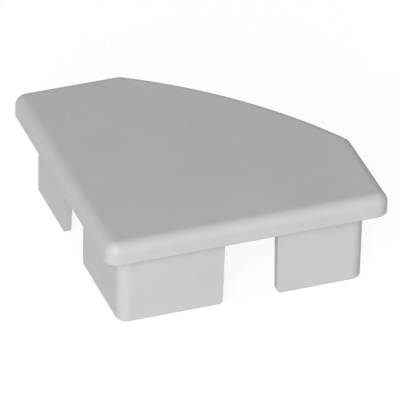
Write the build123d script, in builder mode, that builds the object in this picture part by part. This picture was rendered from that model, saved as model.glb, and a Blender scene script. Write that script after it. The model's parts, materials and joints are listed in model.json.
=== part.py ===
"""Profile end cap: a one-piece moulded cover for the sawn end of a framing profile.

Millimetres, +Z up. The cap stands on the tips of its skirt. The origin is on that plane, under the
middle of the flange. The square corner points to -X and -Y, and the two long sides run from it
along +X and +Y. Two short sides lead on to a shallow arc, which closes the outline.
"""

import os
from math import sqrt

from build123d import *

# Flange: the plate that covers the profile's end
long_side = 45.0
short_side = 17.35
arc_rise = 2.5
flange_thickness = 3.55
square_corner_round = 2.0
side_corner_round = 2.0
arc_corner_round = 1.5
top_edge_round = 1.7
rim_round = 0.25

# Skirt: the thin wall below, which plugs into the profile
skirt_inset = 2.85
skirt_height = 12.6
skirt_wall = 1.5
outer_draft = 0.05
inner_draft = 0.35
skirt_corner_round = 1.8
lead_in_round = 0.4

# Slots: one in each long side, clear of the profile's grooves
slot_width = 8.4
slot_offset = 1.3
slot_flare = 0.15
slot_mouth_round = 1.0

# Worked out from the sizes above
half_side = long_side / 2
half_chord = (long_side - short_side) / sqrt(2)
arc_radius = (half_chord**2 + arc_rise**2) / (2 * arc_rise)
arc_centre = short_side / 2 + (arc_rise - arc_radius) / sqrt(2)
diagonal = Axis((0, 0, 0), (1, 1, 0))
cutter_overrun = skirt_wall / 3  # how far the slot cutters reach past the wall and the tips


def outline(height, inset, square_round, side_round, arc_round):
    """The cap's outline, drawn in by inset, at a height."""
    with BuildSketch(Plane.XY.offset(height)) as plan:
        Rectangle(long_side - 2 * inset, long_side - 2 * inset)
        with Locations((arc_centre, arc_centre)):
            Circle(arc_radius - inset, mode=Mode.INTERSECT)
        fillet(plan.vertices().group_by(diagonal)[0], square_round)
        fillet(plan.vertices().group_by(diagonal)[1], side_round)
        fillet(plan.vertices().group_by(diagonal)[-1], arc_round)
    return plan.sketch


def skirt_outline(height, inset, corner_round):
    """The outline of one face of the skirt, with the same round at every corner."""
    return outline(height, inset, corner_round, corner_round, corner_round)


def slot_profile(plane):
    """A slot seen square to its wall: it flares to the tips, and its mouth rounds the free corners."""
    root_half = slot_width / 2
    tip_half = root_half + slot_flare
    mouth_half = tip_half + 2 * slot_mouth_round
    with BuildSketch(plane) as profile:
        with BuildLine():
            Polyline(
                (slot_offset - root_half, skirt_height),
                (slot_offset - tip_half, 0),
                (slot_offset - mouth_half, 0),
                (slot_offset - mouth_half, -cutter_overrun),
                (slot_offset + mouth_half, -cutter_overrun),
                (slot_offset + mouth_half, 0),
                (slot_offset + tip_half, 0),
                (slot_offset + root_half, skirt_height),
                close=True,
            )
        make_face()
        along_tips = profile.vertices().filter_by_position(Axis.Y, 0, 0).sort_by(Axis.X)
        fillet(along_tips[1:3], slot_mouth_round)
    return profile.sketch


with BuildPart() as end_cap:
    # Flange, with a soft top edge and a slight round where its rim meets the profile
    extrude(
        outline(skirt_height, 0, square_corner_round, side_corner_round, arc_corner_round),
        amount=flange_thickness,
    )
    fillet(end_cap.faces().sort_by(Axis.Z)[-1].edges(), min(top_edge_round, flange_thickness - 2 * rim_round))
    fillet(end_cap.faces().sort_by(Axis.Z)[0].edges(), min(rim_round, flange_thickness / 4))

    # Skirt, solid at first, so that the lead-in runs round its outer tip edge alone
    root = skirt_outline(skirt_height, skirt_inset, skirt_corner_round)
    tip = skirt_outline(0, skirt_inset + outer_draft, skirt_corner_round)
    loft(sections=[tip, root], ruled=True)
    fillet(end_cap.faces().sort_by(Axis.Z)[0].edges(), min(lead_in_round, skirt_wall / 3))

    # Hollow, open at the tips and wider there than under the flange
    inner_round = max(skirt_corner_round - skirt_wall, skirt_wall / 4)
    hollow_top = skirt_outline(skirt_height, skirt_inset + skirt_wall, inner_round)
    hollow_mouth = skirt_outline(0, skirt_inset + skirt_wall - inner_draft, inner_round)
    loft(sections=[hollow_mouth, hollow_top], ruled=True, mode=Mode.SUBTRACT)

    # Slots, from outside each long wall to just inside it
    front = Plane(origin=(0, -half_side, 0), x_dir=(1, 0, 0), z_dir=(0, -1, 0))
    left = Plane(origin=(-half_side, 0, 0), x_dir=(0, 1, 0), z_dir=(1, 0, 0))
    cut_depth = skirt_inset + skirt_wall + cutter_overrun
    extrude(slot_profile(front), amount=-cut_depth, mode=Mode.SUBTRACT)
    extrude(slot_profile(left), amount=cut_depth, mode=Mode.SUBTRACT)

end_cap.part.label = "end_cap"
os.makedirs("parts", exist_ok=True)
export_step(end_cap.part, "parts/end_cap.step")
print("volume mm3", round(end_cap.part.volume, 2), "solids", len(end_cap.part.solids()))
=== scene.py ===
# %% [markdown]
# # A moulded end cap for a framing profile
#
# The real object is one piece of moulded plastic that closes the sawn end of a framing profile. Its
# flange covers the cut, and a thin skirt below plugs into the profile. The shape is engineering, so
# it comes ready from the CAD model. What is left to do here is the surface of the plastic, the light,
# and where the camera stands.
#
# We could rebuild the cap as a mesh, but its rounds are already real rounds in the CAD model, so a
# second copy would only drift away from the sizes that make it fit. We keep the solid as it is.

# %% Load the frame
import json
import math

import bpy
from mathutils import Matrix, Vector


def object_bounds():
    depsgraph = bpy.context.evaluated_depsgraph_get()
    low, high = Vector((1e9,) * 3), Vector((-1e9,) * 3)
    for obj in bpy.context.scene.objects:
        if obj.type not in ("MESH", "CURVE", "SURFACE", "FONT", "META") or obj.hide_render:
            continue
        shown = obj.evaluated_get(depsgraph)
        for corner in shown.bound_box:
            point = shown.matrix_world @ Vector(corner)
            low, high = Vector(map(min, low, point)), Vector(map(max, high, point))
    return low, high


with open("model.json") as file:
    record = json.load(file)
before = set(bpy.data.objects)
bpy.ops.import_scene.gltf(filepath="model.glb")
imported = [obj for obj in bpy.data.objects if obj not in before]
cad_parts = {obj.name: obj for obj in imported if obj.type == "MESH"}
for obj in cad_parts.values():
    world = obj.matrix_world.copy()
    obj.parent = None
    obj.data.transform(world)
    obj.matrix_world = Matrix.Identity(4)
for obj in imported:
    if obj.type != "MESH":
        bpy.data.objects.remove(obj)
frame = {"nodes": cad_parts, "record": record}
cap = frame["nodes"]["end_cap"]
cad_low, cad_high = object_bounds()
cad_size = cad_high - cad_low
print("cap, mm:", [round(1000 * side, 2) for side in cad_size])

# %% [markdown]
# ## Colours and lengths
#
# A maker names a colour by its sRGB hex value, while Blender's shaders work on linear light, so one
# function turns the first into the second. Lengths are metres in Blender, and plastics are talked
# about in millimetres, so one constant does that conversion.

# %% Units and colours
MM = 0.001


def linear(hex_colour):
    """An sRGB hex colour, such as "#BCBCBC", as linear red, green, blue and alpha."""
    channels = [int(hex_colour[i:i + 2], 16) / 255 for i in (1, 3, 5)]
    return [c / 12.92 if c <= 0.04045 else ((c + 0.055) / 1.055) ** 2.4 for c in channels] + [1.0]


print("mid grey in linear light:", round(linear("#BCBCBC")[0], 3))

# %% [markdown]
# ## Building a material from nodes
#
# A procedural material is a small network. Placing nodes by hand repeats the same three things: make
# the node, set its values, join its inputs. One helper does all three, so that each material below
# reads as a list of what the surface is made of.

# %% One helper for every node
def add(tree, kind, settings=None, values=None, links=None):
    """Adds a node, sets its properties and input values, and joins its inputs to other sockets."""
    node = tree.nodes.new(kind)
    for name, setting in (settings or {}).items():
        setattr(node, name, setting)
    for socket, value in (values or {}).items():
        node.inputs[socket].default_value = value
    for socket, source in (links or {}).items():
        tree.links.new(source, node.inputs[socket])
    return node


def new_material(name):
    """An empty node material."""
    material = bpy.data.materials.new(name)
    material.use_nodes = True
    material.node_tree.nodes.clear()
    return material


# %% [markdown]
# ## The plastic: moulded polyamide with a spark-eroded texture
#
# End caps like this are usually injection moulded from polyamide. The steel mould is spark eroded,
# which leaves it covered in tiny round craters, and the plastic copies them. That gives the eye a
# satin surface: no mirror image, but a soft bright sheen where a corner turns to the light.
#
# Three things keep the surface from looking like flat paint. The melt cools unevenly as it flows, so
# its grey drifts very slightly over about a centimetre. The erosion is not equally fine everywhere,
# so the sheen drifts too. And thick places shrink a little, so a broad flat face is never quite flat.
#
# Real erosion craters are about 0.05 mm across, which is finer than the picture can show. They are
# drawn at 0.18 mm here, as coarse as they need to be to break up the sheen.

# %% Moulded polyamide
CRATER_SIZE = 0.18 * MM
CRATER_DEPTH = 0.006 * MM
FLOW_SIZE = 11 * MM
SINK_SIZE = 14 * MM
SINK_DEPTH = 0.03 * MM
POLYAMIDE_IOR = 1.53


def moulded_polyamide():
    """Light grey polyamide from a spark-eroded mould: satin, with slow drifts in tone and sheen."""
    material = new_material("moulded_polyamide_light_grey")
    tree = material.node_tree
    place = add(tree, "ShaderNodeTexCoord").outputs["Object"]

    flow = add(tree, "ShaderNodeTexNoise", values={"Scale": 1 / FLOW_SIZE, "Detail": 3.0, "Roughness": 0.5},
               links={"Vector": place})
    tone = add(tree, "ShaderNodeValToRGB", links={"Fac": flow.outputs["Fac"]})
    tone.color_ramp.elements[0].position = 0.3
    tone.color_ramp.elements[0].color = linear("#BABABA")
    tone.color_ramp.elements[1].position = 0.7
    tone.color_ramp.elements[1].color = linear("#BEBEBE")

    craters = add(tree, "ShaderNodeTexNoise", values={"Scale": 1 / CRATER_SIZE, "Detail": 2.0},
                  links={"Vector": place})
    sheen = add(tree, "ShaderNodeMapRange", values={"To Min": 0.46, "To Max": 0.56},
                links={"Value": flow.outputs["Fac"]})

    sinks = add(tree, "ShaderNodeTexNoise", values={"Scale": 1 / SINK_SIZE, "Detail": 1.0},
                links={"Vector": place})
    broad = add(tree, "ShaderNodeBump", values={"Strength": 1.0, "Distance": SINK_DEPTH},
                links={"Height": sinks.outputs["Fac"]})
    fine = add(tree, "ShaderNodeBump", values={"Strength": 1.0, "Distance": CRATER_DEPTH},
               links={"Height": craters.outputs["Fac"], "Normal": broad.outputs["Normal"]})

    plastic = add(tree, "ShaderNodeBsdfPrincipled", values={"IOR": POLYAMIDE_IOR, "Metallic": 0.0},
                  links={"Base Color": tone.outputs["Color"], "Roughness": sheen.outputs["Result"],
                         "Normal": fine.outputs["Normal"]})
    add(tree, "ShaderNodeOutputMaterial", links={"Surface": plastic.outputs["BSDF"]})
    return material


cap.data.materials.clear()
cap.data.materials.append(moulded_polyamide())
print("cap material:", cap.data.materials[0].name)

# %% [markdown]
# ## The floor
#
# A product shot stands on white paper that fades away. The paper has to do two jobs that pull apart:
# look white to the camera, and still show the cap's soft shadow. So it glows, but only for rays that
# carry a picture of it: straight to the camera, in a reflection, or through something clear. For the
# light that bounces up on to the cap it stays plain white paper.
#
# It lies a hair below the tips of the skirt, so that the two never share a plane.

# %% White paper floor
FLOOR_SIDE = 40 * max(cad_size)
PAPER_GLOW = 0.9
FLOOR_GAP = 0.02 * MM
# A Mix node has sockets for numbers, vectors and colours under the same names: these are the colours
COLOUR_A, COLOUR_B, COLOUR_RESULT = 6, 7, 2


def rays_that_show(tree):
    """1 for rays that carry a picture (straight, mirrored or through something), 0 for light's bounces."""
    path = add(tree, "ShaderNodeLightPath")
    seen = path.outputs["Is Camera Ray"]
    for kind in ("Is Glossy Ray", "Is Transmission Ray"):
        either = add(tree, "ShaderNodeMath", settings={"operation": "MAXIMUM"},
                     links={0: seen, 1: path.outputs[kind]})
        seen = either.outputs[0]
    return seen


def white_paper():
    """Paper that is white where it is seen, keeps a soft shadow, and bounces light as paper does."""
    material = new_material("white_studio_paper")
    tree = material.node_tree
    seen = rays_that_show(tree)
    shade = add(tree, "ShaderNodeMix", settings={"data_type": "RGBA"}, links={"Factor": seen})
    shade.inputs[COLOUR_A].default_value = linear("#E6E6E6")
    shade.inputs[COLOUR_B].default_value = linear("#6E6E6E")
    paper = add(tree, "ShaderNodeBsdfDiffuse", links={"Color": shade.outputs[COLOUR_RESULT]})
    strength = add(tree, "ShaderNodeMath", settings={"operation": "MULTIPLY"}, values={1: PAPER_GLOW},
                   links={0: seen})
    glow = add(tree, "ShaderNodeEmission", links={"Strength": strength.outputs[0]})
    both = add(tree, "ShaderNodeAddShader", links={0: paper.outputs[0], 1: glow.outputs[0]})
    add(tree, "ShaderNodeOutputMaterial", links={"Surface": both.outputs[0]})
    return material


floor_mesh = bpy.data.meshes.new("studio_floor")
half = FLOOR_SIDE / 2
floor_mesh.from_pydata([(-half, -half, 0), (half, -half, 0), (half, half, 0), (-half, half, 0)], [],
                       [(0, 1, 2, 3)])
floor = bpy.data.objects.new("studio_floor", floor_mesh)
bpy.context.scene.collection.objects.link(floor)
floor.location.z = cad_low.z - FLOOR_GAP
floor_mesh.materials.append(white_paper())
print("floor side, m:", round(FLOOR_SIDE, 2))

# %% [markdown]
# ## The light
#
# Soft light comes from large sources. The room is an even glow from every side, which fills the
# shadows. One big soft box in front, to the left and rather low, gives the front wall the most light,
# the left wall less, and the flat top the least, so that each face reads apart. It stands well back,
# so that both ends of the cap get nearly the same light.
#
# As with the paper, the room is plain white where it is seen, and dimmer as a light.
#
# The soft box's power is worked out from its distance, so that a face square on to it gets KEY_LIGHT
# times the light at which a colour renders as it is written.

# %% Room glow and soft box
ROOM_GLOW = 0.32
KEY_LIGHT = 0.98
KEY_AZIMUTH, KEY_ELEVATION = -32.0, 26.5
KEY_DISTANCE = 1.2
KEY_SIDE = 0.7


def direction(azimuth, elevation):
    """The way from the cap towards a viewer or a lamp: azimuth 0 is in front of it, on the -Y side."""
    around, above = math.radians(azimuth), math.radians(elevation)
    return Vector((math.sin(around) * math.cos(above), -math.cos(around) * math.cos(above), math.sin(above)))


world = bpy.data.worlds.new("studio_room")
bpy.context.scene.world = world
world.use_nodes = True
room = world.node_tree
room.nodes.clear()
room_strength = add(room, "ShaderNodeMapRange", values={"To Min": ROOM_GLOW, "To Max": 1.0},
                    links={"Value": rays_that_show(room)})
glow = add(room, "ShaderNodeBackground", links={"Strength": room_strength.outputs["Result"]})
glow.inputs["Color"].default_value = (1.0, 1.0, 1.0, 1.0)
add(room, "ShaderNodeOutputWorld", links={"Surface": glow.outputs["Background"]})

cap_middle = (cad_low + cad_high) / 2
key_data = bpy.data.lights.new("soft_box", "AREA")
key_data.shape, key_data.size = "SQUARE", KEY_SIDE
key_data.energy = math.pi ** 2 * KEY_DISTANCE ** 2 * KEY_LIGHT
key = bpy.data.objects.new("soft_box", key_data)
bpy.context.scene.collection.objects.link(key)
key_way = direction(KEY_AZIMUTH, KEY_ELEVATION)
key.location = cap_middle + key_way * KEY_DISTANCE
key.rotation_mode = "QUATERNION"
key.rotation_quaternion = key_way.to_track_quat("Z", "Y")
print("soft box power, W:", round(key_data.energy, 2))

# %% [markdown]
# ## The camera
#
# A long lens from far away keeps parallel edges nearly parallel, which is how catalogue pictures of
# small parts are taken. The camera looks down from the front left, past the square corner, and leans
# a little to one side. It aims just below the flange.
#
# We build its axes directly: back is the way from the cap to the camera, and right and up are turned
# about it by the lean.

# %% Camera
CAMERA_AZIMUTH, CAMERA_ELEVATION, CAMERA_LEAN = -20.64, 33.85, 1.41
CAMERA_DISTANCE = 1.0
LENS_PER_SENSOR = 16.46
AIM_RIGHT, AIM_UP = 0.11 * MM, -5.64 * MM
FLANGE_UNDERSIDE = Vector(frame["record"]["mounts"][0]["pos_m"])

back = direction(CAMERA_AZIMUTH, CAMERA_ELEVATION)
level_right = Vector((0, 0, 1)).cross(back).normalized()
level_up = back.cross(level_right)
lean = math.radians(CAMERA_LEAN)
right = math.cos(lean) * level_right + math.sin(lean) * level_up
up = math.cos(lean) * level_up - math.sin(lean) * level_right

camera_data = bpy.data.cameras.new("catalogue_camera")
camera_data.lens = LENS_PER_SENSOR * camera_data.sensor_width
camera_data.clip_start, camera_data.clip_end = 0.01, 10.0
camera = bpy.data.objects.new("catalogue_camera", camera_data)
bpy.context.scene.collection.objects.link(camera)
place = FLANGE_UNDERSIDE + right * AIM_RIGHT + up * AIM_UP + back * CAMERA_DISTANCE
turn = Matrix((right, up, back)).transposed().to_4x4()
camera.matrix_world = Matrix.Translation(place) @ turn
bpy.context.scene.camera = camera
print("lens, mm:", round(camera_data.lens, 1))

# %% [markdown]
# ## Finish
#
# Standard view transform shows each colour as it is written.

bpy.context.scene.view_settings.view_transform = "Standard"
